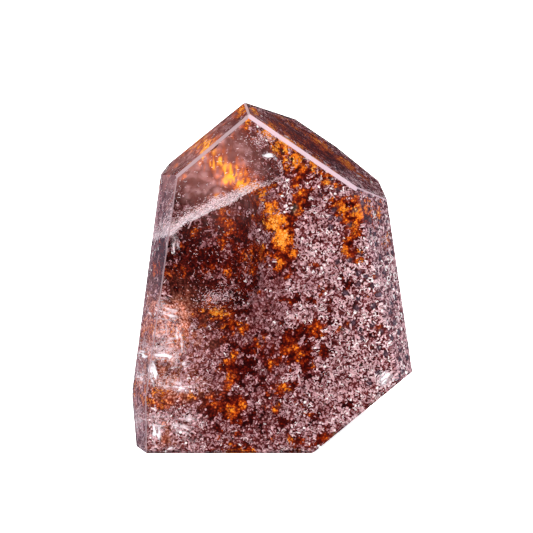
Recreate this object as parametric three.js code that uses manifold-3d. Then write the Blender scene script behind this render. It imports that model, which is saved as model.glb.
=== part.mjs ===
// A polished garden quartz point: one crystal with mineral grains grown inside it, ground flat on every side
// and standing on its sawn base. The front faces -Y, the tip points along +Z, and the origin is under the
// middle of the stone, on the surface it stands on.
import * as THREE from "three";
import { mergeVertices } from "three/addons/utils/BufferGeometryUtils.js";
import Module from "manifold-3d";

// All lengths are in millimetres and all angles in degrees.

// Every facet is measured from one point in the heart of the stone, this far above the base.
const HEART_HEIGHT = 34;

// The rough block is larger than the stone on every side, and so is the lap that grinds it.
const ROUGH_SIZE = 120;
const LAP_SIZE = 300;

// One entry for each ground face. azimuth turns the face's outward normal about +Z, starting from +X. rise
// lifts that normal above the horizontal. reach is how far the face lies from the heart.
const FACETS = {
  base: { azimuth: 0, rise: -90, reach: HEART_HEIGHT },
  front: { azimuth: -90, rise: 4, reach: 15.9 },
  leftFront: { azimuth: 201.8, rise: 9.2, reach: 25.4 },
  leftFoot: { azimuth: 204.3, rise: 1.3, reach: 29.2 },
  leftHeel: { azimuth: 153, rise: -11.2, reach: 24.1 },
  leftBack: { azimuth: 149.9, rise: 4.2, reach: 17.2 },
  backLeft: { azimuth: 118, rise: 5, reach: 15.6 },
  back: { azimuth: 88.8, rise: 1.2, reach: 15.5 },
  backRight: { azimuth: 50, rise: 5.4, reach: 21.4 },
  right: { azimuth: 3.6, rise: 7.9, reach: 23.9 },
  rightFront: { azimuth: -33.2, rise: 12.8, reach: 24.9 },
  heel: { azimuth: -19.6, rise: -47.9, reach: 34.3 },
  roofLeft: { azimuth: 192.5, rise: 49.7, reach: 29.3 },
  roofRight: { azimuth: -3.1, rise: 55.8, reach: 24.6 },
  roofBack: { azimuth: 136.5, rise: 42.6, reach: 23.3 },
};

// The sharp edges are broken by narrow flats. The two over the front face are the widest.
const FINE_BEVEL = 0.3;
const BEVELS = [
  { between: ["front", "roofRight"], width: 1.05 },
  { between: ["front", "roofLeft"], width: 0.8 },
  { between: ["roofLeft", "roofRight"], width: 0.5 },
  { between: ["roofRight", "rightFront"], width: 0.45 },
  { between: ["front", "heel"], width: 0.5 },
  { between: ["base", "heel"], width: 0.5 },
  { between: ["base", "back"], width: 0.5 },
  { between: ["base", "front"], width: FINE_BEVEL },
  { between: ["base", "leftFoot"], width: FINE_BEVEL },
  { between: ["base", "leftHeel"], width: FINE_BEVEL },
  { between: ["leftFoot", "leftHeel"], width: FINE_BEVEL },
  { between: ["leftHeel", "backLeft"], width: FINE_BEVEL },
  { between: ["base", "backLeft"], width: FINE_BEVEL },
  { between: ["front", "leftFront"], width: FINE_BEVEL },
  { between: ["front", "leftFoot"], width: FINE_BEVEL },
  { between: ["front", "rightFront"], width: FINE_BEVEL },
  { between: ["rightFront", "right"], width: FINE_BEVEL },
  { between: ["leftFront", "leftBack"], width: FINE_BEVEL },
  { between: ["leftBack", "backLeft"], width: FINE_BEVEL },
  { between: ["right", "backRight"], width: FINE_BEVEL },
  { between: ["backRight", "heel"], width: FINE_BEVEL },
  { between: ["roofLeft", "roofBack"], width: FINE_BEVEL },
  { between: ["roofRight", "roofBack"], width: FINE_BEVEL },
  { between: ["roofRight", "back"], width: FINE_BEVEL },
];

// The stone reads as mauve-brown from a step away, with a glassy polish.
const STONE_COLOUR = 0x9a6a66;
const POLISH = { roughness: 0.08, metalness: 0 };

const wasm = await Module();
wasm.setup();

// A closed three.js geometry as a solid that can be cut.
function solidFrom(geometry) {
  const bare = geometry.clone().deleteAttribute("normal").deleteAttribute("uv");
  const merged = mergeVertices(bare);
  const mesh = new wasm.Mesh({
    numProp: 3,
    vertProperties: merged.attributes.position.array,
    triVerts: new Uint32Array(merged.index.array),
  });
  return new wasm.Manifold(mesh);
}

// A cut solid as a flat-shaded three.js geometry.
function geometryFrom(solid) {
  const { numProp, numVert, vertProperties, triVerts } = solid.getMesh();
  const positions = new Float32Array(numVert * 3);
  for (let i = 0; i < numVert; i++) {
    positions.set(vertProperties.subarray(i * numProp, i * numProp + 3), i * 3);
  }
  const shared = new THREE.BufferGeometry();
  shared.setAttribute("position", new THREE.BufferAttribute(positions, 3));
  shared.setIndex(new THREE.BufferAttribute(triVerts, 1));
  const flat = shared.toNonIndexed();
  flat.computeVertexNormals();
  return flat;
}

// The plane of a facet, with its normal pointing out of the stone.
function facetPlane({ azimuth, rise, reach }) {
  const turn = THREE.MathUtils.degToRad(azimuth);
  const lift = THREE.MathUtils.degToRad(rise);
  const normal = new THREE.Vector3(
    Math.cos(turn) * Math.cos(lift),
    Math.sin(turn) * Math.cos(lift),
    Math.sin(lift),
  );
  const onFacet = new THREE.Vector3(0, 0, HEART_HEIGHT).addScaledVector(normal, reach);
  return new THREE.Plane().setFromNormalAndCoplanarPoint(normal, onFacet);
}

// The plane of a flat of the given width that breaks the edge between two facets evenly.
function bevelPlane(first, second, width) {
  const sum = first.normal.clone().add(second.normal);
  const turn = first.normal.angleTo(second.normal);
  const depth = (width * Math.tan(turn / 2)) / 2;
  const length = sum.length();
  const constant = (first.constant + second.constant) / length + depth;
  return new THREE.Plane(sum.divideScalar(length), constant);
}

// Grinds away everything outside a plane, with a lap whose flat side lies on it.
function grind(stone, plane) {
  const lap = new THREE.BoxGeometry(LAP_SIZE, LAP_SIZE, LAP_SIZE);
  lap.translate(0, 0, LAP_SIZE / 2);
  const towards = new THREE.Quaternion().setFromUnitVectors(new THREE.Vector3(0, 0, 1), plane.normal);
  lap.applyQuaternion(towards);
  const foot = plane.coplanarPoint(new THREE.Vector3());
  lap.translate(foot.x, foot.y, foot.z);
  return stone.subtract(solidFrom(lap));
}

// The whole crystal: a rough block, its facets, then the broken edges.
function quartzGeometry() {
  const block = new THREE.BoxGeometry(ROUGH_SIZE, ROUGH_SIZE, ROUGH_SIZE);
  block.translate(0, 0, HEART_HEIGHT);
  const planes = Object.fromEntries(
    Object.entries(FACETS).map(([name, facet]) => [name, facetPlane(facet)]),
  );
  let stone = solidFrom(block);
  for (const plane of Object.values(planes)) {
    stone = grind(stone, plane);
  }
  for (const { between, width } of BEVELS) {
    stone = grind(stone, bevelPlane(planes[between[0]], planes[between[1]], width));
  }
  return geometryFrom(stone);
}

// Stands the stone on the origin, with the middle of its outline over it.
function standOnOrigin(geometry) {
  geometry.computeBoundingBox();
  const { min, max } = geometry.boundingBox;
  geometry.translate(-(min.x + max.x) / 2, -(min.y + max.y) / 2, -min.z);
  return geometry;
}

const quartz = new THREE.Mesh(
  standOnOrigin(quartzGeometry()),
  new THREE.MeshStandardMaterial({ color: STONE_COLOUR, ...POLISH }),
);
quartz.name = "quartz_point";

const gardenQuartz = new THREE.Group();
gardenQuartz.add(quartz);

export default gardenQuartz;
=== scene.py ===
import math

import bmesh
import bpy
import numpy as np
from mathutils import Matrix, Vector, noise


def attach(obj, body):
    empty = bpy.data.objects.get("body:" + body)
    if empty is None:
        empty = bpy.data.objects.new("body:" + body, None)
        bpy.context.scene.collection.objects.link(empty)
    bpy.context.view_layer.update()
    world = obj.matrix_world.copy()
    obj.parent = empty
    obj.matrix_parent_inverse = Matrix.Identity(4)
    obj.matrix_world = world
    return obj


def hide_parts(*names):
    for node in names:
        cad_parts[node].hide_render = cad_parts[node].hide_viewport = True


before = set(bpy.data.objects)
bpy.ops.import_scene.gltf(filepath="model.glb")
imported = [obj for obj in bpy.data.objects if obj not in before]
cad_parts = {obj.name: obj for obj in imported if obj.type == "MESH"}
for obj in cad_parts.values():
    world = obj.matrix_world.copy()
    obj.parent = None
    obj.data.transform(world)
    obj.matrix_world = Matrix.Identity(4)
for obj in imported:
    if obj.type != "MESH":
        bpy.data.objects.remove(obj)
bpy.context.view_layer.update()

# The camera stands half a metre in front of the stone and looks a little down at its broad face.
# It has the long lens of a close product view, so the facets keep nearly parallel sides.
MM = 0.001
VIEW_TARGET = Vector((-1.072, 1.41, 33.4)) * MM
VIEW_RISE = math.radians(12)
VIEW_DISTANCE = 500 * MM
SENSOR_WIDTH = 36
LENS_LENGTH = 168.86

camera_data = bpy.data.cameras.new("camera")
camera_data.sensor_width = SENSOR_WIDTH
camera_data.lens = LENS_LENGTH
camera = bpy.data.objects.new("camera", camera_data)
bpy.context.scene.collection.objects.link(camera)
camera.location = VIEW_TARGET + VIEW_DISTANCE * Vector((0, -math.cos(VIEW_RISE), math.sin(VIEW_RISE)))
camera.rotation_euler = (math.radians(90) - VIEW_RISE, 0, 0)
bpy.context.scene.camera = camera

# The quartz itself: one clear crystal, cut and polished flat on every side, with its sharp edges broken.
# The broad facets and most broken edges are plain clear quartz. The broken edges over the front and the
# wider ones behind were ground but not polished as far, and keep a pale bloom.
WELD_DISTANCE = 0.001 * MM
FLAT_ANGLE = math.radians(0.3)
EDGE_FACET_AREA = 40
GROUND_EDGE_WIDTH = 0.4
BACK_EDGE_WIDTH = 0.15
QUARTZ_IOR = 1.544
QUARTZ_TINT = (0.96, 0.86, 0.86, 1)
QUARTZ_ABSORPTION = 9.0
BLOOM_ROUGHNESS = 0.4
BLOOMS = [
    {"name": "ground_edge", "colour": (0.36, 0.25, 0.29, 1), "transmission": 0.5},
    {"name": "rubbed_edge", "colour": (0.27, 0.175, 0.19, 1), "transmission": 0.62},
]


def new_material(name):
    """A node material, with its node list, its links and its Principled BSDF."""
    made = bpy.data.materials.new(name)
    made.use_nodes = True
    tree = made.node_tree
    return made, tree.nodes, tree.links, tree.nodes["Principled BSDF"]


def new_piece(name, shape):
    """A named object at the origin from a bmesh, which is freed."""
    mesh = bpy.data.meshes.new(name)
    shape.to_mesh(mesh)
    shape.free()
    piece = bpy.data.objects.new(name, mesh)
    bpy.context.scene.collection.objects.link(piece)
    return piece


def merged_crystal():
    """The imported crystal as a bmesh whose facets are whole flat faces."""
    shape = bmesh.new()
    shape.from_mesh(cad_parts["quartz_point"].data)
    bmesh.ops.remove_doubles(shape, verts=shape.verts, dist=WELD_DISTANCE)
    bmesh.ops.dissolve_limit(shape, angle_limit=FLAT_ANGLE, verts=shape.verts, edges=shape.edges)
    return shape


def quartz_material(name, base_colour, roughness, transmission):
    """Quartz with its faint tint. Where it is ground, it is rough and lets less light through."""
    made, nodes, links, body = new_material(name)
    body.inputs["Base Color"].default_value = base_colour
    body.inputs["Roughness"].default_value = roughness
    body.inputs["IOR"].default_value = QUARTZ_IOR
    body.inputs["Transmission Weight"].default_value = transmission
    absorption = nodes.new("ShaderNodeVolumeAbsorption")
    absorption.inputs["Color"].default_value = QUARTZ_TINT
    absorption.inputs["Density"].default_value = QUARTZ_ABSORPTION
    links.new(absorption.outputs["Volume"], nodes["Material Output"].inputs["Volume"])
    return made


shape = merged_crystal()
facets = [
    (np.array(face.normal), face.normal.dot(face.verts[0].co) / MM, face.calc_area() / MM**2)
    for face in shape.faces
]
# A small facet is a broken edge. It blooms where it faces up, left and forward, or back, unless it is too thin.
for face in shape.faces:
    area = face.calc_area() / MM**2
    length = max(edge.calc_length() for edge in face.edges) / MM
    raised = area / length > GROUND_EDGE_WIDTH and face.normal.z > 0.2
    left_front = face.normal.x < -0.3 and face.normal.y < -0.5
    behind = face.normal.y > 0.1 and area / length > BACK_EDGE_WIDTH
    if area < EDGE_FACET_AREA and (raised or left_front or behind):
        face.material_index = 1 if face.normal.x > 0.2 else 2
crystal = new_piece("crystal", shape)
crystal.data.materials.append(quartz_material("clear_quartz", (1, 1, 1, 1), 0, 1))
for bloom in BLOOMS:
    ground = quartz_material(bloom["name"], bloom["colour"], BLOOM_ROUGHNESS, bloom["transmission"])
    crystal.data.materials.append(ground)
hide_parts("quartz_point")
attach(crystal, "root")

# The mineral bed: the dense, lumpy mass of iron oxide and clay that the quartz grew over and closed in.
# It fills the stone a little under its facets, and falls away in hollows where the quartz stayed clear.
ROUGH_VOXEL = 0.6 * MM
BED_VOXEL = 0.36 * MM
BED_LUMPS = [(7.0, 0.9), (2.6, 0.45), (1.0, 0.28)]
RUST_RAGS = [(2.4, 0.8), (1.1, 1.0), (0.6, 0.8)]
BED_CLEARANCE = 0.25
BED_SEED = 5
NEARLY_FACING = 0.97
SLATE_SPOTS = 120
SLATE_GAP = 1.6
SLATE_RADIUS = 0.54
SLATE_BLUR = 0.12
FINE_CELL = 0.5 * MM
BROAD_CELL = 2.0 * MM
CHLORITE_STRENGTH = 1.2

# A bed depth is the direction of a facet and how far the bed lies under it. A patch is its middle, how far it
# reaches each way and its strength. All lengths are in millimetres.
BED_DEPTHS = [
    ((0, -1, 0), 0.9),
    ((0.82, -0.53, 0.2), 0.9),
    ((0.99, 0.06, 0.14), 0.9),
    ((0.64, 0.76, 0.1), 0.9),
    ((0, 1, 0), 1.0),
    ((-0.47, 0.88, 0.09), 1.2),
    ((-0.86, 0.5, 0.07), 1.4),
    ((-0.87, 0.44, -0.19), 1.2),
    ((-0.91, -0.39, 0.16), 2.0),
    ((-0.89, -0.45, 0), 1.2),
    ((0, 0, -1), 0.3),
    ((0.64, -0.23, -0.73), 0.6),
    ((-0.63, -0.14, 0.76), 3.0),
    ((0.56, -0.03, 0.83), 1.2),
    ((-0.53, 0.51, 0.68), 1.8),
]
HOLLOWS = [
    {"middle": (-12.1, -17, 42), "reach": (11.8, 15.5, 18)},
    {"middle": (-9.3, -15, 56.5), "reach": (11.5, 13, 10)},
    {"middle": (-21.3, -15, 22), "reach": (5.5, 9, 11)},
]
RUST_PATCHES = [
    ((-0.8, -12, 61.8), (2.6, 8, 1.8), 1.1),
    ((2.0, -12, 59.6), (2.4, 8, 2.0), 1.2),
    ((4.2, -13, 57.4), (2.2, 10, 2.6), 1.1),
    ((7.8, -13, 55.6), (2.6, 8, 2.2), 1.05),
    ((11.2, -13, 53.2), (2.2, 6, 1.6), 0.85),
    ((-3.0, -10, 51.6), (1.6, 9, 1.6), 0.95),
    ((-1.8, -10, 49.6), (1.6, 9, 1.8), 0.95),
    ((-0.2, -12, 47.6), (1.6, 9, 2.0), 1.1),
    ((0.5, -13, 45.4), (2.3, 9, 2.4), 1.25),
    ((2.1, -14, 42.6), (2.0, 9, 3.0), 1.35),
    ((5.1, -14, 50.6), (1.6, 6, 4.2), 0.7),
    ((3.8, -14, 39.4), (2.2, 6, 1.9), 0.85),
    ((1.4, -14, 37.6), (2.4, 6, 1.8), 0.8),
    ((-1.8, -13, 39.0), (2.0, 8, 2.4), 0.6),
    ((13.5, -13, 48.2), (2.2, 5, 4.2), 0.66),
    ((16.1, -13, 46.4), (1.4, 5, 4.6), 0.86),
    ((14.2, -13, 39.8), (1.2, 5, 3.4), 0.8),
    ((16.8, -13, 38.8), (1.1, 5, 2.8), 0.75),
    ((18.5, -12, 47.5), (1.7, 6, 3.8), 0.7),
    ((20.6, -11, 47.5), (1.4, 6, 3.6), 1.0),
    ((22.2, -10, 41.0), (1.6, 6, 2.4), 0.8),
    ((-11.3, -9, 26.8), (3.6, 9, 1.1), 0.95),
    ((-8.4, -11, 24.8), (1.6, 9, 1.8), 0.85),
    ((-4.8, -11, 24.6), (1.0, 9, 1.4), 0.8),
    ((-19.2, -7, 22.6), (4.6, 9, 4.0), 0.72),
    ((-25.2, -4, 22.0), (2.8, 9, 5.0), 0.95),
    ((3.2, -14, 20.6), (3.4, 4, 2.4), 0.5),
    ((5.2, -14, 18.6), (2.4, 4, 2.0), 0.45),
    ((8.4, -14, 24.4), (2.4, 4, 2.2), 0.46),
    ((-8.4, -14, 14.6), (1.1, 5, 2.6), 0.68),
    ((-8.0, -14, 8.2), (1.3, 5, 1.8), 0.74),
    ((-7.9, -14, 5.2), (1.5, 5, 2.0), 0.62),
    ((-22.2, -13, 10.4), (3.0, 5, 1.9), 0.95),
    ((-25.0, -6, 11.0), (3.0, 7, 2.6), 0.85),
    ((-15.8, -13, 11.4), (1.9, 5, 1.3), 0.85),
    ((-11.4, -13, 10.4), (2.4, 5, 1.6), 0.55),
    ((2.4, -14, 2.6), (3.4, 4, 1.3), 0.72),
    ((6.8, -14, 1.2), (3.4, 4, 1.8), 0.6),
    ((-6.4, -14, 0.8), (3.4, 4, 1.2), 0.85),
    ((-11.6, -14, 0.8), (1.6, 4, 1.0), 0.75),
    ((2.2, -14, 12.6), (3.4, 4, 1.4), 0.6),
    ((-21.4, -14, 6.0), (0.7, 3, 3.4), 0.55),
    ((-20.4, -14, 2.4), (1.2, 3, 1.2), 0.6),
    ((-14.2, -3, 57.0), (2.8, 9, 2.2), 0.6),
    ((-11.2, -3, 56.2), (2.4, 9, 2.8), 0.85),
    ((-8.2, -3, 53.4), (2.2, 9, 2.6), 1.05),
    ((-5.2, -4, 51.4), (2.4, 9, 1.6), 1.1),
    ((-8.8, -4, 43.0), (3.0, 8, 3.0), 0.45),
    ((-4.8, -6, 36.6), (2.6, 8, 3.0), 0.45),
    ((2.6, 10, 61), (4, 5, 3), 0.9),
    ((8.2, 9, 56), (4, 6, 3), 0.95),
    ((14.2, 6, 53), (3, 5, 2.5), 0.9),
    ((17.2, 2, 50), (3, 5, 2.5), 0.7),
    ((-14.3, -6, 58), (2.6, 6, 2.6), 0.7),
    ((-9.8, -4, 62), (1.6, 5, 1.6), 0.5),
    ((-4.8, -4, 64.5), (2.0, 4, 2.2), 1.0),
    ((-5.8, 15, 40), (5, 4, 8), 0.9),
    ((8.2, 15, 20), (6, 4, 5), 0.9),
    ((12.2, 15, 44), (4, 4, 6), 0.9),
    ((24.2, 7, 25), (4, 4, 7), 0.9),
    ((-15.8, 8, 14), (4, 4, 6), 0.9),
    ((-11.8, 9, 48), (4, 4, 6), 0.9),
]
BARE_PATCHES = [
    ((-25.6, -4, 23.0), (2.4, 10, 7.0), 1.4),
    ((-26.0, -6, 12.0), (2.2, 10, 4.0), 0.9),
    ((-20.6, -14, 4.5), (1.0, 4, 3.2), 1.2),
    ((-11.6, -9, 27.5), (5.4, 6, 2.4), 1.3),
    ((-0.8, -14, 24.3), (4.5, 5, 2.8), 1.0),
    ((5.2, -14, 21.0), (5.0, 5, 5.6), 1.4),
    ((-6.2, -14, 16.4), (3.6, 5, 4.6), 1.6),
    ((-8.8, -14, 9.0), (5.6, 5, 4.6), 1.9),
    ((3.7, -14, 13.5), (4.4, 5, 2.2), 1.0),
    ((9.8, -14, 20.5), (2.0, 4, 2.0), 1.1),
    ((9.8, -14, 15.5), (1.4, 4, 2.6), 1.1),
    ((10.4, -14, 28.5), (2.6, 4, 1.8), 1.0),
    ((7.8, -14, 30.0), (2.2, 4, 1.6), 1.1),
    ((9.2, -14, 26.0), (2.2, 4, 2.4), 1.3),
    ((9.7, -14, 2.8), (3.4, 4, 2.6), 1.2),
    ((-2.8, -14, 1.0), (12, 4, 1.8), 0.9),
    ((14.7, -14, 34), (2.4, 4, 1.8), 1.0),
    ((-19.8, -12, 10.6), (7.0, 6, 2.6), 1.1),
    ((-21.3, -14, 5.0), (2.0, 5, 5.0), 0.9),
    ((-18.8, -9, 33), (7.0, 9, 8.0), 1.2),
    ((4.2, -14, 51.0), (4.0, 5, 6.0), 1.0),
    ((1.7, -14, 40.0), (4.0, 5, 5.0), 1.15),
    ((15.7, -14, 45.0), (4.0, 5, 7.0), 0.95),
    ((-2.8, -14, 21.0), (10.0, 6, 16.0), 0.9),
    ((0.2, -14, 6.0), (14.0, 6, 9.0), 0.7),
    ((-23.8, -4, 36), (5, 9, 8), 1.5),
    ((-21.8, -4, 50), (4, 9, 5), 1.0),
    # These two, under the top facets where the light falls strongly, leave the bed bare and dark as painted
    # shade.
    ((7.2, 1, 57), (12, 10, 8), 1.5),
    ((-10.8, -2, 60), (8, 9, 5), 1.3),
]
CHLORITE_SPOTS = [
    ((4.4, -14, 48.0), (0.8, 5, 1.2)),
    ((13.8, -15, 24.6), (0.5, 4, 0.6)),
    ((17.2, -15, 17.5), (0.5, 4, 0.4)),
    ((22.8, -15, 18.4), (0.6, 4, 0.4)),
    ((10.1, -15, 9.4), (0.6, 4, 0.6)),
    ((12.2, -15, 3.8), (0.6, 4, 0.4)),
]
WINDOW = [((-12.3, -3, 56.0), (9.0, 11, 8.0), 1.7)]
PEACH_PATCHES = [
    ((-20.3, -8, 22.0), (5.4, 9, 6.4), 1.4),
    ((-24.3, -6, 20.0), (4.0, 9, 9.0), 1.4),
    ((-20.8, -13, 13.0), (6.4, 6, 3.0), 1.0),
    ((-21.3, -13, 4.0), (3.6, 6, 5.0), 0.4),
]


def facet_towards(direction):
    """The widest facet that faces a direction, as its normal and its distance from the origin."""
    least = NEARLY_FACING * np.linalg.norm(direction)
    facing = [facet for facet in facets if facet[0] @ np.array(direction) > least]
    normal, distance, _ = max(facing, key=lambda facet: facet[2])
    return normal, distance


def keep_inside(places, clearance):
    """Moves every place, in millimetres, that is nearer to a facet than the clearance straight in from it."""
    for normal, distance, _ in facets:
        out = places @ normal - (distance - clearance)
        places -= np.outer(np.maximum(out, 0), normal)
    return places


def depth_at(places):
    """How far each place, in millimetres, lies under the nearest facet."""
    return np.min([distance - places @ normal for normal, distance, _ in facets], axis=0)


def voxel_remeshed(piece, voxel):
    """Rebuilds a closed mesh in even small faces."""
    remesh = piece.modifiers.new("remesh", "REMESH")
    remesh.mode = "VOXEL"
    remesh.voxel_size = voxel
    seen = piece.evaluated_get(bpy.context.evaluated_depsgraph_get())
    piece.data = bpy.data.meshes.new_from_object(seen)
    piece.modifiers.clear()


def read_vertices(piece, what, scale=1.0):
    """A vector of every vertex of a piece, divided by a scale, as an array."""
    values = np.empty(len(piece.data.vertices) * 3)
    piece.data.vertices.foreach_get(what, values)
    return values.reshape(-1, 3) / scale


def write_places(piece, places):
    """Puts a piece's vertices at these places, in millimetres."""
    piece.data.vertices.foreach_set("co", (places * MM).ravel())
    piece.data.update()


def write_value(piece, name, values):
    """Stores a number for every vertex of a piece, for its material to read."""
    attribute = piece.data.attributes.new(name, "FLOAT", "POINT")
    attribute.data.foreach_set("value", values.astype(np.float32))


def noise_at(places, width):
    """Smooth noise from about -1 to 1 at places in millimetres, with features of this width."""
    return np.array([noise.noise(place) for place in places / width])


def layered_noise(places, layers):
    """Smooth noise of several widths added up. Each layer is its width and its strength."""
    return sum(strength * noise_at(places, width) for width, strength in layers)


def patches_at(places, patches):
    """The strongest of some soft round patches at each place, in millimetres."""
    strength = np.zeros(len(places))
    for middle, reach, height in patches:
        apart = (places - middle) / reach
        strength = np.maximum(strength, height * np.exp(-(apart**2).sum(1)))
    return strength


def smooth_step(low, high, values):
    """0 below low, 1 above high and a smooth rise between them."""
    share = np.clip((values - low) / (high - low), 0, 1)
    return share * share * (3 - 2 * share)


shape = merged_crystal()
for direction, depth in BED_DEPTHS:
    normal, distance = facet_towards(direction)
    cut = bmesh.ops.bisect_plane(
        shape,
        geom=shape.verts[:] + shape.edges[:] + shape.faces[:],
        plane_co=Vector(normal) * (distance - depth) * MM,
        plane_no=normal,
        clear_outer=True,
    )
    rim = [part for part in cut["geom_cut"] if isinstance(part, bmesh.types.BMEdge)]
    bmesh.ops.contextual_create(shape, geom=rim)
bmesh.ops.recalc_face_normals(shape, faces=shape.faces)
bed = new_piece("mineral_bed", shape)
voxel_remeshed(bed, ROUGH_VOXEL)

# In each hollow the front of the bed is pushed back to a round wall.
places = read_vertices(bed, "co", MM)
back_wall = places[:, 1].copy()
for hollow in HOLLOWS:
    apart = (places - hollow["middle"]) / hollow["reach"]
    inside = (apart**2).sum(1) < 1
    depth = np.sqrt(np.maximum(1 - apart[:, 0] ** 2 - apart[:, 2] ** 2, 0))
    wall = hollow["middle"][1] + hollow["reach"][1] * depth
    back_wall = np.where(inside, np.maximum(back_wall, wall), back_wall)
places[:, 1] = back_wall
write_places(bed, places)
voxel_remeshed(bed, BED_VOXEL)

places = read_vertices(bed, "co", MM)
places += read_vertices(bed, "normal") * layered_noise(places, BED_LUMPS)[:, None]
places = keep_inside(places, BED_CLEARANCE)
write_places(bed, places)
bed.data.shade_smooth()

# The rust lies in its patches and in small strewn ones. Their edges are ragged, and wisps in the window.
near = patches_at(places, RUST_PATCHES)
ragged = layered_noise(places, RUST_RAGS)
strewn = 0.42 * smooth_step(0.1, 0.45, noise_at(places + 17, 3.1))
opening = patches_at(places, WINDOW)
bed_window = np.clip(opening + 0.3 * noise_at(places, 3.0) * smooth_step(0.1, 0.5, opening), 0, 1)
smoke = 0.8 * noise_at(places * (2.0, 1.0, 0.7), 2.0) + 1.1 * noise_at(places * (2.4, 1.0, 0.5), 0.8)
ragged += bed_window * (smoke - ragged)
bed_rust = np.clip(np.maximum(near, strewn) * (0.85 + 1.0 * ragged) + 0.1 * ragged, 0, 1)

# The mauve cover is clumped, and is left off where the bed lies deep, is bare or is rusted.
# Under the top facets it is also left off, as painted shade.
bed_depth = depth_at(places)
clumps = 0.8 * noise_at(places + 40, 3.0) + 0.9 * noise_at(places, 1.4) + 0.6 * noise_at(places + 9, 0.8)
bed_cover = smooth_step(5.0, 2.0, bed_depth) - patches_at(places, BARE_PATCHES) - 0.6 * bed_rust - 0.7 * near
bed_cover = smooth_step(0.15, 0.65, bed_cover + 0.3 - 1.1 * clumps) * (1 - bed_window)

# Slate spots are strewn over the right front, none close to another, each in a ring without cover.
chance = np.random.default_rng(BED_SEED)
right_front = np.flatnonzero((places[:, 0] + 0.25 * places[:, 2] > 22) & (places[:, 1] < -2))
slate_spots = []
for spot in places[chance.permutation(right_front)]:
    if len(slate_spots) == SLATE_SPOTS:
        break
    if all(np.linalg.norm(spot - other) > SLATE_GAP for other in slate_spots):
        slate_spots.append(spot)
nearest_slate = np.min([np.linalg.norm(places - spot, axis=1) for spot in slate_spots], axis=0)
uneven = nearest_slate + 0.25 * noise_at(places, 0.7)
bed_slate = smooth_step(SLATE_RADIUS + SLATE_BLUR, SLATE_RADIUS - SLATE_BLUR, uneven)
green = patches_at(places, [(middle, reach, CHLORITE_STRENGTH) for middle, reach in CHLORITE_SPOTS])
bed_green = np.clip(green + 0.5 * noise_at(places, 0.7) - 0.4, 0, 1)
ring = smooth_step(SLATE_RADIUS + 0.1, SLATE_RADIUS + 0.35, nearest_slate)
bed_cover *= (1 - bed_green) * (0.15 + 0.85 * ring)
bed_peach = np.clip(patches_at(places, PEACH_PATCHES) * (0.8 + 0.9 * clumps), 0, 1)
write_value(bed, "rust", bed_rust)
write_value(bed, "cover", bed_cover)
write_value(bed, "window", bed_window)
write_value(bed, "slate", bed_slate)
write_value(bed, "green", bed_green)
write_value(bed, "peach", bed_peach)


def speckle_group():
    """Fine mineral speckle: small round cells broken up by noise, from 0 in the gaps to 1 on the grains."""
    group = bpy.data.node_groups.new("speckle", "ShaderNodeTree")
    group.interface.new_socket("Cell size", in_out="INPUT", socket_type="NodeSocketFloat")
    group.interface.new_socket("Value", in_out="OUTPUT", socket_type="NodeSocketFloat")
    nodes = group.nodes
    links = group.links
    given = nodes.new("NodeGroupInput")
    result = nodes.new("NodeGroupOutput")
    place = nodes.new("ShaderNodeTexCoord")
    finer = nodes.new("ShaderNodeMath")
    finer.operation = "DIVIDE"
    finer.inputs[0].default_value = 1
    cells = nodes.new("ShaderNodeTexVoronoi")
    cells.feature = "F1"
    crumbs = nodes.new("ShaderNodeTexNoise")
    crumbs.inputs["Detail"].default_value = 3
    crumbs.inputs["Distortion"].default_value = 1.5
    level = nodes.new("ShaderNodeMath")
    level.operation = "SUBTRACT"
    level.use_clamp = True
    links.new(given.outputs["Cell size"], finer.inputs[1])
    links.new(place.outputs["Object"], cells.inputs["Vector"])
    links.new(place.outputs["Object"], crumbs.inputs["Vector"])
    links.new(finer.outputs["Value"], cells.inputs["Scale"])
    links.new(finer.outputs["Value"], crumbs.inputs["Scale"])
    rise = nodes.new("ShaderNodeMath")
    rise.operation = "ADD"
    rise.inputs[1].default_value = 0.45
    links.new(crumbs.outputs["Fac"], rise.inputs[0])
    links.new(rise.outputs["Value"], level.inputs[0])
    links.new(cells.outputs["Distance"], level.inputs[1])
    links.new(level.outputs["Value"], result.inputs["Value"])
    return group


speckle = speckle_group()


def add_speckle(nodes, cell_size):
    """The speckle group in a material, with its own cell size."""
    added = nodes.new("ShaderNodeGroup")
    added.node_tree = speckle
    added.inputs["Cell size"].default_value = cell_size
    return added


def add_ramp(nodes, stops):
    """A colour ramp through some stops, each a position and a colour."""
    ramp = nodes.new("ShaderNodeValToRGB")
    elements = ramp.color_ramp.elements
    elements[0].position = stops[0][0]
    elements[0].color = (*stops[0][1], 1)
    elements[1].position = stops[-1][0]
    elements[1].color = (*stops[-1][1], 1)
    for position, colour in stops[1:-1]:
        elements.new(position).color = (*colour, 1)
    return ramp


def add_mix(nodes, links, share, first, second):
    """Mixes two colours by a share, and gives back the mixed colour."""
    mix = nodes.new("ShaderNodeMix")
    mix.data_type = "RGBA"
    links.new(share, mix.inputs["Factor"])
    links.new(first, mix.inputs[6])
    links.new(second, mix.inputs[7])
    return mix.outputs[2]


def add_attribute(nodes, name):
    """A number that a piece carries on its vertices."""
    attribute = nodes.new("ShaderNodeAttribute")
    attribute.attribute_name = name
    return attribute.outputs["Fac"]


def add_sum(nodes, links, first, second, share):
    """Adds a share of a second value to a first, and gives back the sum."""
    sum_node = nodes.new("ShaderNodeMath")
    sum_node.operation = "MULTIPLY_ADD"
    sum_node.inputs[1].default_value = share
    links.new(second, sum_node.inputs[0])
    links.new(first, sum_node.inputs[2])
    return sum_node.outputs["Value"]


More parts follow.
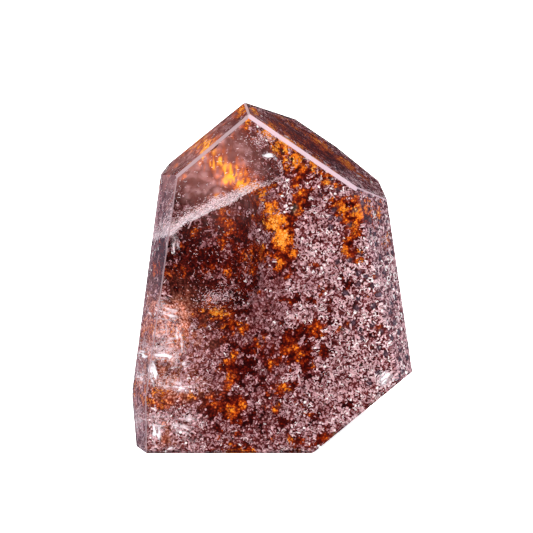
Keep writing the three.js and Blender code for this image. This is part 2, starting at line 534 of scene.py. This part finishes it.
bed_stone, nodes, links, body = new_material("mineral_bed")
fine_level = add_speckle(nodes, FINE_CELL).outputs["Value"]
broad_level = add_speckle(nodes, BROAD_CELL).outputs["Value"]
stain = add_ramp(
    nodes,
    [
        (0.2, (0.013, 0.0003, 0.0003)),
        (0.42, (0.055, 0.002, 0.001)),
        (0.62, (0.18, 0.014, 0.002)),
        (0.82, (0.55, 0.085, 0.006)),
        (1.0, (0.93, 0.30, 0.02)),
    ],
)
mauve = add_ramp(
    nodes,
    [
        (0.25, (0.045, 0.002, 0.002)),
        (0.55, (0.155, 0.032, 0.033)),
        (0.9, (0.54, 0.32, 0.33)),
    ],
)
pane = add_ramp(nodes, [(0.25, (0.20, 0.075, 0.065)), (0.6, (0.34, 0.16, 0.15)), (0.9, (0.5, 0.28, 0.28))])
glow = add_ramp(nodes, [(0.2, (0.28, 0.07, 0.045)), (0.6, (0.68, 0.13, 0.02)), (1.0, (1.0, 0.42, 0.04))])
rusted = add_attribute(nodes, "rust")
faded = add_sum(nodes, links, rusted, rusted, -0.2)
links.new(add_sum(nodes, links, faded, fine_level, 0.7), stain.inputs["Fac"])
links.new(fine_level, mauve.inputs["Fac"])
links.new(broad_level, pane.inputs["Fac"])
links.new(add_sum(nodes, links, rusted, broad_level, 0.3), glow.inputs["Fac"])
crisp = add_ramp(nodes, [(0.55, (0, 0, 0)), (0.8, (1, 1, 1))])
links.new(add_sum(nodes, links, add_attribute(nodes, "cover"), fine_level, 0.6), crisp.inputs["Fac"])
covered = add_mix(nodes, links, crisp.outputs["Color"], stain.outputs["Color"], mauve.outputs["Color"])
glowing = add_mix(nodes, links, rusted, pane.outputs["Color"], glow.outputs["Color"])
peach = add_ramp(nodes, [(0.2, (0.24, 0.035, 0.012)), (0.55, (0.72, 0.28, 0.18)), (0.9, (0.95, 0.66, 0.62))])
links.new(fine_level, peach.inputs["Fac"])
flushed = add_mix(nodes, links, add_attribute(nodes, "peach"), covered, peach.outputs["Color"])
seen = add_mix(nodes, links, add_attribute(nodes, "window"), flushed, glowing)
slate = add_ramp(nodes, [(0.2, (0.035, 0.018, 0.024)), (0.8, (0.13, 0.08, 0.105))])
chlorite = add_ramp(nodes, [(0.2, (0.02, 0.025, 0.018)), (0.8, (0.11, 0.15, 0.12))])
links.new(fine_level, slate.inputs["Fac"])
links.new(fine_level, chlorite.inputs["Fac"])
spotted = add_mix(nodes, links, add_attribute(nodes, "slate"), seen, slate.outputs["Color"])
flecked = add_mix(nodes, links, add_attribute(nodes, "green"), spotted, chlorite.outputs["Color"])
links.new(flecked, body.inputs["Base Color"])
body.inputs["Roughness"].default_value = 0.6
body.inputs["Specular IOR Level"].default_value = 0
bed.data.materials.clear()
bed.data.materials.append(bed_stone)
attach(bed, "root")

# The mauve grains: tens of thousands of curled and rounded crumbs that carpet the bed just under the facets.
# Each is a small opaque mineral grain, and they lie on and in each other like worm casts in sand.
GRAIN_CARPETS = [
    {"name": "grains_front_left", "grains": 5200, "x": (-40, 2), "side": 1, "size": 0.95, "tone": 0.48},
    {"name": "grains_front_right", "grains": 7100, "x": (2, 40), "side": 1, "size": 1.0, "tone": 0.64},
    {"name": "grains_back_left", "grains": 4700, "x": (-40, 4), "side": -1, "size": 1.45, "tone": 0.5},
    {"name": "grains_back_right", "grains": 4700, "x": (4, 40), "side": -1, "size": 1.45, "tone": 0.5},
]
GRAIN_CLUSTERS = [
    {"middle": (-10.6, -12.0, 30.0), "reach": (2.0, 1.0, 1.0), "grains": 900, "tone": 0.65},
    {"middle": (-11.8, -6, 38), "reach": (5.5, 3.0, 6.0), "grains": 320, "tone": 0.06},
    {"middle": (-4.3, -9, 36), "reach": (2.2, 2.0, 3.5), "grains": 320, "tone": 0.22},
    {"middle": (-1.4, -12.0, 61.4), "reach": (1.6, 1.0, 0.8), "grains": 420, "tone": 0.7},
    {"middle": (-1.8, -11.5, 56.0), "reach": (2.2, 1.2, 3.0), "grains": 800, "tone": 0.3},
    {"middle": (-17.8, -11, 20), "reach": (4.0, 2.0, 4.0), "grains": 380, "tone": 0.4},
]
GLINT_SHARE = 0.03
GRAIN_WOBBLE = 0.13
WOBBLE_WIDTH = 0.45
GRAIN_TILT = 0.55
GRAIN_LIFT = (-0.1, 0.45)
GRAIN_SIZES = (0.65, 1.15)
GRAIN_STRETCH = (0.75, 1.25)
GRAIN_TONE_SPREAD = 0.2
AFLOAT_DEPTH = 0.3
AFLOAT_SIZES = (0.2, 0.5)
AFLOAT_STRETCH = (0.7, 1.3)
GRAIN_CLEARANCE = 0.06
# Grains are darker in these patches. The last two, under the top facets where the light falls strongly, are
# painted shade.
DIM_PATCHES = [
    ((-3.8, -14, 28.0), (10.0, 8, 20.0), 0.26),
    ((-11.8, -8, 42.0), (9.0, 9, 11.0), 0.4),
    ((2.2, -14, 8.0), (12.0, 8, 9.0), 0.16),
    ((-23.8, -4, 36), (5, 9, 8), 0.3),
    ((7.2, 1, 58), (12, 10, 8), 0.5),
    ((-10.8, -2, 61), (8, 9, 5), 0.5),
]
CURL_RADIUS = 0.33
CURL_THICKNESS = 0.12
CURL_TURNS = [math.radians(100), math.radians(180), math.radians(270)]
CRUMB_RADIUS = 0.32
NEEDLE_LENGTH = 0.95
NEEDLE_THICKNESS = 0.11
QUARTER_TURN = Matrix.Rotation(math.radians(90), 3, "X")
# How many of the grains are of each kind: the three curls, the crumb and the needle.
CARPET_SHARES = (0.34, 0.17, 0.03, 0.26, 0.2)
AFLOAT_SHARES = (0.25, 0.1, 0.0, 0.4, 0.25)


def grain_kind(shape):
    """A base grain as arrays of its vertices and triangles, from a bmesh in millimetres, which is freed."""
    bmesh.ops.recalc_face_normals(shape, faces=shape.faces)
    bmesh.ops.triangulate(shape, faces=shape.faces)
    shape.verts.index_update()
    points = np.array([vertex.co for vertex in shape.verts])
    triangles = np.array([[vertex.index for vertex in face.verts] for face in shape.faces])
    shape.free()
    return points, triangles


def curl_kind(turn):
    """A bent rod, like a worm cast, that curls through an angle."""
    shape = bmesh.new()
    bmesh.ops.create_circle(shape, cap_ends=True, segments=3, radius=CURL_THICKNESS)
    bmesh.ops.translate(shape, verts=shape.verts, vec=(CURL_RADIUS, 0, 0))
    start = shape.faces[:]
    bmesh.ops.spin(
        shape,
        geom=start,
        cent=(0, 0, 0),
        axis=(0, 1, 0),
        angle=turn,
        steps=3 + round(turn),
        use_duplicate=False,
    )
    bmesh.ops.rotate(shape, verts=shape.verts, cent=(0, 0, 0), matrix=QUARTER_TURN)
    return grain_kind(shape)


def crumb_kind():
    """A rounded, slightly flat crumb."""
    shape = bmesh.new()
    bmesh.ops.create_icosphere(shape, subdivisions=1, radius=CRUMB_RADIUS)
    bmesh.ops.scale(shape, verts=shape.verts, vec=(1, 0.8, 0.65))
    return grain_kind(shape)


def needle_kind():
    """A straight little rod that lies flat."""
    shape = bmesh.new()
    bmesh.ops.create_cone(
        shape,
        cap_ends=True,
        segments=4,
        radius1=NEEDLE_THICKNESS,
        radius2=NEEDLE_THICKNESS * 0.8,
        depth=NEEDLE_LENGTH,
    )
    bmesh.ops.rotate(shape, verts=shape.verts, cent=(0, 0, 0), matrix=QUARTER_TURN)
    return grain_kind(shape)


def surface_samples(piece, density, count):
    """Random places on a piece, with their normals and densities, more of them where its density is high."""
    piece.data.calc_loop_triangles()
    corners = np.empty(len(piece.data.loop_triangles) * 3, dtype=np.int32)
    piece.data.loop_triangles.foreach_get("vertices", corners)
    corners = corners.reshape(-1, 3)
    spots = read_vertices(piece, "co", MM)[corners]
    across = np.cross(spots[:, 1] - spots[:, 0], spots[:, 2] - spots[:, 0])
    area = np.linalg.norm(across, axis=1)
    weight = area * density[corners].mean(1)
    picked = chance.choice(len(corners), size=count, p=weight / weight.sum())
    first, second = chance.random((2, count, 1))
    folded = first + second > 1
    first, second = np.where(folded, 1 - first, first), np.where(folded, 1 - second, second)
    spots = spots[picked]
    places = spots[:, 0] + first * (spots[:, 1] - spots[:, 0]) + second * (spots[:, 2] - spots[:, 0])
    return places, across[picked] / area[picked][:, None], density[corners[picked]].mean(1)


def unit(vectors):
    """The same vectors at length 1."""
    return vectors / np.linalg.norm(vectors, axis=1, keepdims=True)


def joined_copies(name, kinds, picks, places, facing, sizes, values, wobble=0.0):
    """One mesh of many small pieces, each a copy of one kind that faces its own way, turned at random.
    Places, sizes and the wobble that bends each copy are in millimetres. Its material reads values."""
    along = unit(np.cross(facing, chance.normal(size=facing.shape)))
    turns = np.stack([along, np.cross(facing, along), facing], axis=2)
    points, triangles, owners = [], [], []
    start = 0
    for number, (kind_points, kind_triangles) in enumerate(kinds):
        chosen = np.flatnonzero(picks == number)
        shaped = kind_points[None] * sizes[chosen][:, None, :]
        turned = np.einsum("nij,nkj->nki", turns[chosen], shaped)
        points.append((turned + places[chosen][:, None]).reshape(-1, 3))
        steps = start + len(kind_points) * np.arange(len(chosen))
        triangles.append((kind_triangles[None] + steps[:, None, None]).reshape(-1, 3))
        owners.append(np.repeat(chosen, len(kind_points)))
        start += len(kind_points) * len(chosen)
    points = np.concatenate(points)
    if wobble:
        points += wobble * np.stack([noise_at(points + shift, WOBBLE_WIDTH) for shift in (0, 31, 67)], axis=1)
    points = keep_inside(points, GRAIN_CLEARANCE)
    owners = np.concatenate(owners)
    mesh = bpy.data.meshes.new(name)
    mesh.from_pydata(points * MM, [], np.concatenate(triangles))
    mesh.shade_smooth()
    piece = bpy.data.objects.new(name, mesh)
    bpy.context.scene.collection.objects.link(piece)
    for label, numbers in values.items():
        write_value(piece, label, numbers[owners])
    return piece


grain_kinds = [curl_kind(turn) for turn in CURL_TURNS] + [crumb_kind(), needle_kind()]

mauve_grain, nodes, links, body = new_material("mauve_grain")
tones = add_ramp(
    nodes,
    [
        (0.0, (0.12, 0.025, 0.025)),
        (0.25, (0.36, 0.15, 0.165)),
        (0.55, (0.68, 0.40, 0.43)),
        (0.85, (0.87, 0.665, 0.69)),
        (1.0, (1.0, 0.97, 0.97)),
    ],
)
links.new(add_attribute(nodes, "tone"), tones.inputs["Fac"])
links.new(tones.outputs["Color"], body.inputs["Base Color"])
body.inputs["Roughness"].default_value = 0.35
body.inputs["Specular IOR Level"].default_value = 0.1

front_share = smooth_step(-2, -7, places[:, 1])
for carpet in GRAIN_CARPETS:
    side = front_share if carpet["side"] > 0 else 1 - front_share
    within = (places[:, 0] > carpet["x"][0]) & (places[:, 0] <= carpet["x"][1])
    density = bed_cover + 0.02 * (1 - bed_window) * (1 - bed_slate) * (1 - bed_green)
    spots, normals, thick = surface_samples(bed, density * side * within, carpet["grains"])
    facing = unit(normals + GRAIN_TILT * chance.normal(size=normals.shape))
    spots += normals * chance.uniform(*GRAIN_LIFT, (len(spots), 1))
    picks = chance.choice(len(grain_kinds), size=len(spots), p=CARPET_SHARES)
    sizes = carpet["size"] * chance.uniform(*GRAIN_SIZES, (len(spots), 1))
    sizes = sizes * chance.uniform(*GRAIN_STRETCH, spots.shape)
    sizes *= 0.45 + 0.55 * smooth_step(0.05, 0.5, thick)[:, None]
    tone = carpet["tone"] + GRAIN_TONE_SPREAD * chance.normal(size=len(spots)) + 0.25 * noise_at(spots, 2.5)
    # Grains are darkened in the dim patches, and under the top facets this is painted shade.
    tone = np.clip(tone - patches_at(spots, DIM_PATCHES), 0, 1)
    tone[chance.random(len(spots)) < GLINT_SHARE] = 1
    values = {"tone": tone}
    grains = joined_copies(carpet["name"], grain_kinds, picks, spots, facing, sizes, values, GRAIN_WOBBLE)
    grains.data.materials.append(mauve_grain)
    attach(grains, "root")

spots = np.concatenate(
    [
        np.array(cluster["middle"]) + chance.normal(size=(cluster["grains"], 3)) * cluster["reach"]
        for cluster in GRAIN_CLUSTERS
    ]
)
base_tone = np.concatenate([np.full(cluster["grains"], cluster["tone"]) for cluster in GRAIN_CLUSTERS])
kept = (depth_at(spots) > AFLOAT_DEPTH) & (noise_at(spots, 2.0) > 0.3 * chance.normal(size=len(spots)) - 0.1)
spots = spots[kept]
base_tone = base_tone[kept]
facing = unit(chance.normal(size=spots.shape))
picks = chance.choice(len(grain_kinds), size=len(spots), p=AFLOAT_SHARES)
sizes = chance.uniform(*AFLOAT_SIZES, (len(spots), 1)) * chance.uniform(*AFLOAT_STRETCH, spots.shape)
tone = np.clip(base_tone + GRAIN_TONE_SPREAD * chance.normal(size=len(spots)), 0, 1)
values = {"tone": tone}
grains = joined_copies("grains_afloat", grain_kinds, picks, spots, facing, sizes, values, GRAIN_WOBBLE)
grains.data.materials.append(mauve_grain)
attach(grains, "root")

# The rust crumbs: bright iron oxide that stains the bed in clusters, from orange through red to brown.
# They are thin scales that stand on the bed at every angle and glow where light reaches them.
RUST_CRUMBS = 8200
SCALE_RADIUS = 0.22
SCALE_THICKNESS = 0.1
SCALE_TILT = 0.8
SCALE_LIFT = (0, 0.5)
SCALE_SIZES = (0.6, 1.3)
SCALE_STRETCH = (0.8, 1.2)
SCALE_TONE_SPREAD = 0.24


def scale_kind():
    """A thin four-sided scale."""
    shape = bmesh.new()
    bmesh.ops.create_cone(
        shape,
        cap_ends=True,
        segments=4,
        radius1=SCALE_RADIUS,
        radius2=SCALE_RADIUS * 0.7,
        depth=SCALE_THICKNESS,
    )
    return grain_kind(shape)


rust_scale, nodes, links, body = new_material("rust_scale")
tones = add_ramp(
    nodes,
    [
        (0.0, (0.10, 0.006, 0.002)),
        (0.3, (0.40, 0.055, 0.005)),
        (0.55, (0.78, 0.20, 0.012)),
        (0.8, (0.96, 0.36, 0.024)),
        (1.0, (1.0, 0.58, 0.12)),
    ],
)
links.new(add_attribute(nodes, "tone"), tones.inputs["Fac"])
links.new(tones.outputs["Color"], body.inputs["Base Color"])
body.inputs["Roughness"].default_value = 0.4
body.inputs["Specular IOR Level"].default_value = 0.1

spots, normals, _ = surface_samples(bed, smooth_step(0.3, 0.9, bed_rust) * (1 - bed_window), RUST_CRUMBS)
facing = unit(normals + SCALE_TILT * chance.normal(size=normals.shape))
spots += normals * chance.uniform(*SCALE_LIFT, (len(spots), 1))
sizes = chance.uniform(*SCALE_SIZES, (len(spots), 1)) * chance.uniform(*SCALE_STRETCH, spots.shape)
tone = 1.1 * patches_at(spots, RUST_PATCHES) - 0.42 + 0.5 * noise_at(spots, 1.4) + 0.4 * noise_at(spots, 0.6)
tone = np.clip(tone + SCALE_TONE_SPREAD * chance.normal(size=len(spots)), 0, 1)
rust = joined_copies(
    "rust_crumbs",
    [scale_kind()],
    np.zeros(len(spots), dtype=int),
    spots,
    facing,
    sizes,
    {"tone": tone},
)
rust.data.materials.append(rust_scale)
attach(rust, "root")

# The healed fractures: old cracks that closed again, left as curved veils of tiny pale pockets and platelets.
# The largest runs from the left edge up to the right through clear quartz, painted darker further in as painted
# shade.
# Small ones lie low on the left, some painted brighter as a painted highlight. Two small pale sheets, near the
# top and on the right front, are painted highlights.
VEIL_INWARD = 13
VEIL_LIFT = (3.4, 0.6)
VEIL_STEPS = (150, 56)
VEIL_UNDER = 0.12
SHEET_CLEARANCE = 0.05
VEIL_SPLINTERS = 3400
SPLINTER_RADIUS = 0.06
SPLINTER_LENGTH = 0.4
SPLINTER_SPREAD = 0.13
SPLINTER_SIZES = (0.6, 1.4)
SPLINTER_STRETCH = (0.7, 1.3)
SPLINTER_TONE_SPREAD = 0.25
MOTE_TONE = 0.6
FLAP_STEP = 0.14

# The line is where the largest one meets the front, in x and z. A flap is a small one, or a small sheet that is
# a
# painted highlight: its middle, its depth under the front facet, half its length and half its breadth. Motes
# lie around some flaps.
VEIL_LINE = [
    (-26.3, 38.6),
    (-21.7, 41.6),
    (-18.8, 43.5),
    (-15.9, 45.4),
    (-12.0, 47.5),
    (-8.1, 49.3),
    (-4.3, 51.2),
    (-0.4, 52.6),
    (4.2, 54.2),
]
FLAPS = [
    # These two are pale fractures painted brighter as a painted highlight.
    {"x": -20.8, "z": 18.9, "under": 1.2, "along": (3.2, 0.3, -0.4), "across": (0.2, 0.5, 1.0), "pale": 1.15},
    {"x": -23.1, "z": 16.0, "under": 0.7, "along": (0.5, 0.0, -2.6), "across": (1.0, -0.2, 0.3), "pale": 1.6},
    {"x": -17.7, "z": 17.5, "under": 0.6, "along": (2.4, 0.0, 0.5), "across": (0.0, 0.3, 0.6), "pale": 1.1},
    {"x": -18.6, "z": 13.3, "under": 0.4, "along": (4.8, 0.0, -0.4), "across": (0.0, 0.2, 1.4), "pale": 0.8},
    {"x": -16.8, "z": 5.6, "under": 0.3, "along": (3.6, 0.0, -0.9), "across": (0.5, 0.1, 3.4), "pale": 0.65},
    {"x": -22.6, "z": 4.0, "under": 0.4, "along": (0.4, 0.0, -3.0), "across": (1.0, 0.0, 0.1), "pale": 1.3},
    {"x": -18.2, "z": 22.6, "under": 2.4, "along": (0.7, 0.0, -4.4), "across": (1.2, 0.0, 0.2), "pale": 0.75},
    {"x": -20.4, "z": 24.2, "under": 2.4, "along": (0.2, 0.0, -1.8), "across": (0.7, 0.0, 0.0), "pale": 0.5},
    {"x": -21.3, "z": 27.6, "under": 1.6, "along": (4.0, 0.0, -0.8), "across": (0.3, 0.3, 2.2), "pale": 0.8},
    {"x": -22.2, "z": 30.3, "under": 1.0, "along": (2.8, -0.6, 0.0), "across": (0.0, 0.2, 0.45), "pale": 1.1},
    {"x": -18.8, "z": 40.8, "under": 2.5, "along": (0.2, 0.0, -2.4), "across": (1.0, 0.0, 0.1), "pale": 0.5},
    {"x": -20.8, "z": 21.5, "under": 1.6, "along": (3.8, 0.2, 0.6), "across": (0.4, 0.0, 5.0), "pale": 0.45},
    {"x": -24.2, "z": 27.2, "under": 5.0, "along": (1.0, -2.5, -0.6), "across": (0.1, 0.0, 1.2), "pale": 1.2},
    # This one is a pale fracture painted brighter as a painted highlight.
    {"x": -25.0, "z": 18.3, "under": 4.7, "along": (1.2, -3.0, 0.3), "across": (0.1, 0.1, 1.1), "pale": 1.4},
    {"x": -25.4, "z": 14.0, "under": 4.9, "along": (1.2, -3.0, 0.6), "across": (0.1, 0.1, 1.2), "pale": 0.95},
    {"x": -25.4, "z": 5.4, "under": 5.2, "along": (1.2, -2.8, 0.4), "across": (0.1, 0.1, 2.8), "pale": 0.65},
    # This one, near the top, is a painted highlight.
    {"x": -0.5, "z": 58.0, "under": 1.2, "along": (1.7, 0.0, -0.3), "across": (0.0, 0.3, 0.7), "pale": 1.1},
    # This one, just under the right front facet, is a painted highlight.
    {"x": 22.3, "z": 14.8, "under": 0.25, "along": (1.3, 0.0, 1.1), "across": (-0.9, 0.0, 1.2), "pale": 3.6},
    {"x": -21.6, "z": 6.2, "under": 0.5, "along": (3.4, 0.0, -0.3), "across": (0.3, 0.1, 3.4), "pale": 0.5},
    {"x": -15.4, "z": 1.6, "under": 0.3, "along": (0.6, 0.0, 1.0), "across": (0.5, 0.1, -0.2), "pale": 0.9},
    {"x": -20.4, "z": 0.9, "under": 0.3, "along": (1.2, 0.0, 0.2), "across": (0.0, 0.1, 0.6), "pale": 0.8},
]
MOTES = [
    {"from": (-25.8, -6, 44), "to": (-19.8, -11, 52), "spread": (1.4, 1.6, 2.0), "count": 420},
    {"from": (-19.8, -9, 56), "to": (-5.8, -6, 60), "spread": (3.0, 4.0, 4.0), "count": 220},
    {"from": (-17.8, -10, 40), "to": (-1.8, -8, 30), "spread": (3.0, 3.0, 6.0), "count": 260},
    # These motes lie in the painted highlight low on the left.
    {"from": (-26.2, -5.5, 20.4), "to": (-18.2, -14.0, 18.4), "spread": (0.6, 0.8, 0.5), "count": 420},
    {"from": (-25.6, -8.0, 14.0), "to": (-16.8, -15.0, 13.0), "spread": (0.8, 0.8, 0.8), "count": 420},
    # These motes lie in the painted highlight on the right front.
    {"from": (20.8, -15.6, 14.0), "to": (23.2, -15.6, 15.4), "spread": (0.5, 0.2, 0.7), "count": 500},
]

veil_pale, nodes, links, body = new_material("veil_pale")
ramp = add_ramp(nodes, [(0.0, (0.52, 0.28, 0.29)), (0.5, (0.90, 0.66, 0.69)), (1.0, (0.98, 0.93, 0.97))])
links.new(add_attribute(nodes, "tone"), ramp.inputs["Fac"])
links.new(ramp.outputs["Color"], body.inputs["Base Color"])
links.new(add_attribute(nodes, "solid"), body.inputs["Alpha"])
body.inputs["Roughness"].default_value = 0.4
body.inputs["Specular IOR Level"].default_value = 0.1


def sheet_grid(steps):
    """A flat grid with this many steps each way, as its shares along and across from 0 to 1 and its bmesh."""
    shape = bmesh.new()
    bmesh.ops.create_grid(shape, x_segments=steps[0], y_segments=steps[1], size=0.5)
    shape.verts.index_update()
    return shape, np.array([vertex.co[:2] for vertex in shape.verts]) + 0.5


def front_surface(z, under):
    """How far back the front facet lies at each height, plus a depth under it, in millimetres."""
    normal, distance = facet_towards((0, -1, 0))
    return (distance - normal[2] * z) / normal[1] + under


def left_surface(x, z, under):
    """How far back the left facet lies at each place, plus a depth under it, in millimetres."""
    normal, distance = facet_towards((-0.91, -0.39, 0.16))
    return (distance - under - normal[0] * x - normal[2] * z) / normal[1]


sheet_points, sheet_faces, sheet_solid, sheet_tone = [], [], [], []


def keep_sheet(shape, spots, solid, tone):
    """Adds a bent sheet to the fractures. It ends where it would leave the crystal."""
    start = sum(len(points) for points in sheet_points)
    sheet_faces.extend([start + vertex.index for vertex in face.verts] for face in shape.faces)
    shape.free()
    sheet_solid.append(np.clip(solid, 0, 1) * smooth_step(SHEET_CLEARANCE, 0.2, depth_at(spots)))
    sheet_points.append(keep_inside(spots, SHEET_CLEARANCE))
    sheet_tone.append(np.clip(tone, 0, 1))


shape, shares = sheet_grid(VEIL_STEPS)
along, inward = shares.T
line_x, line_z = np.array(VEIL_LINE).T
spots = np.empty((len(shares), 3))
spots[:, 0] = line_x[0] + along * (line_x[-1] - line_x[0])
spots[:, 2] = np.interp(spots[:, 0], line_x, line_z) + 0.6 * noise_at(np.outer(along, (11, 0, 0)), 1.0)
front_edge = front_surface(spots[:, 2], VEIL_UNDER)
left_edge = left_surface(spots[:, 0], spots[:, 2], VEIL_UNDER)
spots[:, 1] = np.maximum(front_edge, left_edge) + inward * VEIL_INWARD
spots[:, 2] += inward * (VEIL_LIFT[0] + along * (VEIL_LIFT[1] - VEIL_LIFT[0])) + 0.35 * noise_at(spots, 2.4)
fibres = noise_at(spots * (0.5, 0.8, 1.0) + spots[:, [2]] * (0.6, 0, 0), 0.9) + 0.6 * noise_at(spots, 0.5)
solid = 0.42 * np.exp(-((inward / 0.36) ** 2)) * smooth_step(-0.03, 0.18, inward) + 0.25 * (1 - inward) ** 2
solid *= 1 - 0.93 * smooth_step(0.5, 0.92, along)
veil_spots, veil_solid, veil_inward = spots.copy(), solid.copy(), inward.copy()
# The sheet's tone falls the further in it reaches, as painted shade, and its fibres vary it.
keep_sheet(shape, spots, solid * (0.8 + 0.6 * fibres), 0.74 - 0.6 * inward + 0.3 * fibres)

for flap in FLAPS:
    spans = [2 * np.linalg.norm(flap[way]) / FLAP_STEP for way in ("along", "across")]
    shape, shares = sheet_grid([round(span) for span in spans])
    along, across = (2 * shares - 1).T
    middle = (flap["x"], front_surface(flap["z"], flap["under"]), flap["z"])
    spots = middle + np.outer(along, flap["along"]) + np.outer(across, flap["across"])
    spots[:, 1] += 0.35 * noise_at(spots, 1.6)
    long_way = np.array(flap["along"]) / np.linalg.norm(flap["along"])
    stretch = spots - 0.88 * np.outer(spots @ long_way, long_way)
    fibres = noise_at(stretch, 0.36) + 0.4 * noise_at(spots, 0.4) + 0.5 * noise_at(spots, 1.1)
    solid = flap["pale"] * np.exp(-2.0 * (along**2 + across**2)) * (0.42 + 1.3 * fibres)
    solid *= 1 - smooth_step(0.8, 1.0, np.maximum(abs(along), abs(across)))
    keep_sheet(shape, spots, solid, 0.3 + 0.5 * flap["pale"] + 0.25 * fibres)

mesh = bpy.data.meshes.new("healed_veil")
mesh.from_pydata(np.concatenate(sheet_points) * MM, [], sheet_faces)
mesh.shade_smooth()
veil = bpy.data.objects.new("healed_veil", mesh)
bpy.context.scene.collection.objects.link(veil)
write_value(veil, "solid", np.concatenate(sheet_solid))
write_value(veil, "tone", np.concatenate(sheet_tone))
veil.data.materials.append(veil_pale)
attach(veil, "root")


def splinter_kind():
    """A tiny three-sided splinter along its own Z."""
    shape = bmesh.new()
    bmesh.ops.create_cone(
        shape,
        cap_ends=True,
        segments=3,
        radius1=SPLINTER_RADIUS,
        radius2=0,
        depth=SPLINTER_LENGTH,
    )
    return grain_kind(shape)


picked = chance.choice(len(veil_spots), size=VEIL_SPLINTERS, p=veil_solid / veil_solid.sum())
spots = [veil_spots[picked] + SPLINTER_SPREAD * chance.normal(size=(VEIL_SPLINTERS, 3))]
lines = [unit(np.array((1, 0.3, 0.45)) + 0.3 * chance.normal(size=spots[0].shape))]
# The splinters' tone falls the further in they lie on the sheet, as painted shade.
tones = [0.8 - 0.5 * veil_inward[picked]]
for mote in MOTES:
    line = np.array(mote["to"]) - np.array(mote["from"])
    spread = chance.normal(size=(mote["count"], 3)) * mote["spread"]
    spots.append(np.array(mote["from"]) + chance.random((mote["count"], 1)) * line + spread)
    lines.append(unit(line / np.linalg.norm(line) + 0.5 * chance.normal(size=spread.shape)))
    tones.append(np.full(mote["count"], MOTE_TONE))
spots = np.concatenate(spots)
inside = depth_at(spots) > GRAIN_CLEARANCE
spots = spots[inside]
facing = np.concatenate(lines)[inside]
sizes = chance.uniform(*SPLINTER_SIZES, (len(spots), 1)) * chance.uniform(*SPLINTER_STRETCH, spots.shape)
tone = np.concatenate(tones)[inside] + SPLINTER_TONE_SPREAD * chance.normal(size=len(spots))
tone = np.clip(tone, 0, 1)
platelets = joined_copies(
    "veil_platelets",
    [splinter_kind()],
    np.zeros(len(spots), dtype=int),
    spots,
    facing,
    sizes,
    {"tone": tone, "solid": np.ones(len(spots))},
)
platelets.data.materials.append(veil_pale)
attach(platelets, "root")

# The stage: a glowing white table under the stone, one wide softbox overhead and a soft pale room.
# The room is dark low down in front and behind, so that the polished facets stay clear, and dim at the sides.
TABLE_REACH = 900 * MM
TABLE_DROP = 0.05 * MM
TABLE_GLOW = 0.8
FLOOR_LIGHT = (0.035, 0.03, 0.04, 1)
SKY_LIGHT = (1.6, 1.6, 1.6, 1)
SIDE_LIGHT = (0.38, 0.37, 0.50, 1)
SOFTBOX_PLACE = (0, -0.35, 0.6)
SOFTBOX_TILT = math.atan2(0.35, 0.57)
SOFTBOX_SIZE = 0.9
SOFTBOX_POWER = 17

shape = bmesh.new()
bmesh.ops.create_circle(shape, cap_ends=True, segments=96, radius=TABLE_REACH)
bmesh.ops.translate(shape, verts=shape.verts, vec=(0, 0, -TABLE_DROP))
table = new_piece("table", shape)
table_top, nodes, links, body = new_material("table_top")
body.inputs["Base Color"].default_value = (0.9, 0.9, 0.9, 1)
body.inputs["Roughness"].default_value = 0.8
body.inputs["Emission Color"].default_value = (1, 1, 1, 1)
body.inputs["Emission Strength"].default_value = TABLE_GLOW
table.data.materials.append(table_top)
table.visible_glossy = False

room = bpy.data.worlds.new("room")
bpy.context.scene.world = room
room.use_nodes = True
nodes = room.node_tree.nodes
links = room.node_tree.links
place = nodes.new("ShaderNodeTexCoord")
axes = nodes.new("ShaderNodeSeparateXYZ")
height = nodes.new("ShaderNodeValToRGB")
height.color_ramp.elements[0].position = 0.25
height.color_ramp.elements[0].color = FLOOR_LIGHT
height.color_ramp.elements[1].position = 0.6
height.color_ramp.elements[1].color = SKY_LIGHT
aside = nodes.new("ShaderNodeMath")
aside.operation = "ABSOLUTE"
sides = nodes.new("ShaderNodeValToRGB")
sides.color_ramp.elements[0].position = 0.45
sides.color_ramp.elements[0].color = (0, 0, 0, 1)
sides.color_ramp.elements[1].position = 0.75
sides.color_ramp.elements[1].color = SIDE_LIGHT
both = nodes.new("ShaderNodeMix")
both.data_type = "RGBA"
both.blend_type = "ADD"
both.inputs["Factor"].default_value = 1
path = nodes.new("ShaderNodeLightPath")
backdrop = nodes.new("ShaderNodeMix")
backdrop.data_type = "RGBA"
backdrop.inputs[7].default_value = (1, 1, 1, 1)
links.new(place.outputs["Generated"], axes.inputs["Vector"])
links.new(axes.outputs["Z"], height.inputs["Fac"])
links.new(path.outputs["Is Camera Ray"], backdrop.inputs["Factor"])
links.new(axes.outputs["X"], aside.inputs["Value"])
links.new(aside.outputs["Value"], sides.inputs["Fac"])
links.new(height.outputs["Color"], both.inputs[6])
links.new(sides.outputs["Color"], both.inputs[7])
links.new(both.outputs[2], backdrop.inputs[6])
links.new(backdrop.outputs[2], nodes["Background"].inputs["Color"])

softbox_data = bpy.data.lights.new("softbox", "AREA")
softbox_data.shape = "SQUARE"
softbox_data.size = SOFTBOX_SIZE
softbox_data.energy = SOFTBOX_POWER
softbox = bpy.data.objects.new("softbox", softbox_data)
bpy.context.scene.collection.objects.link(softbox)
softbox.location = SOFTBOX_PLACE
softbox.rotation_euler = (SOFTBOX_TILT, 0, 0)
softbox.visible_camera = False

bpy.context.scene.view_settings.view_transform = "Standard"
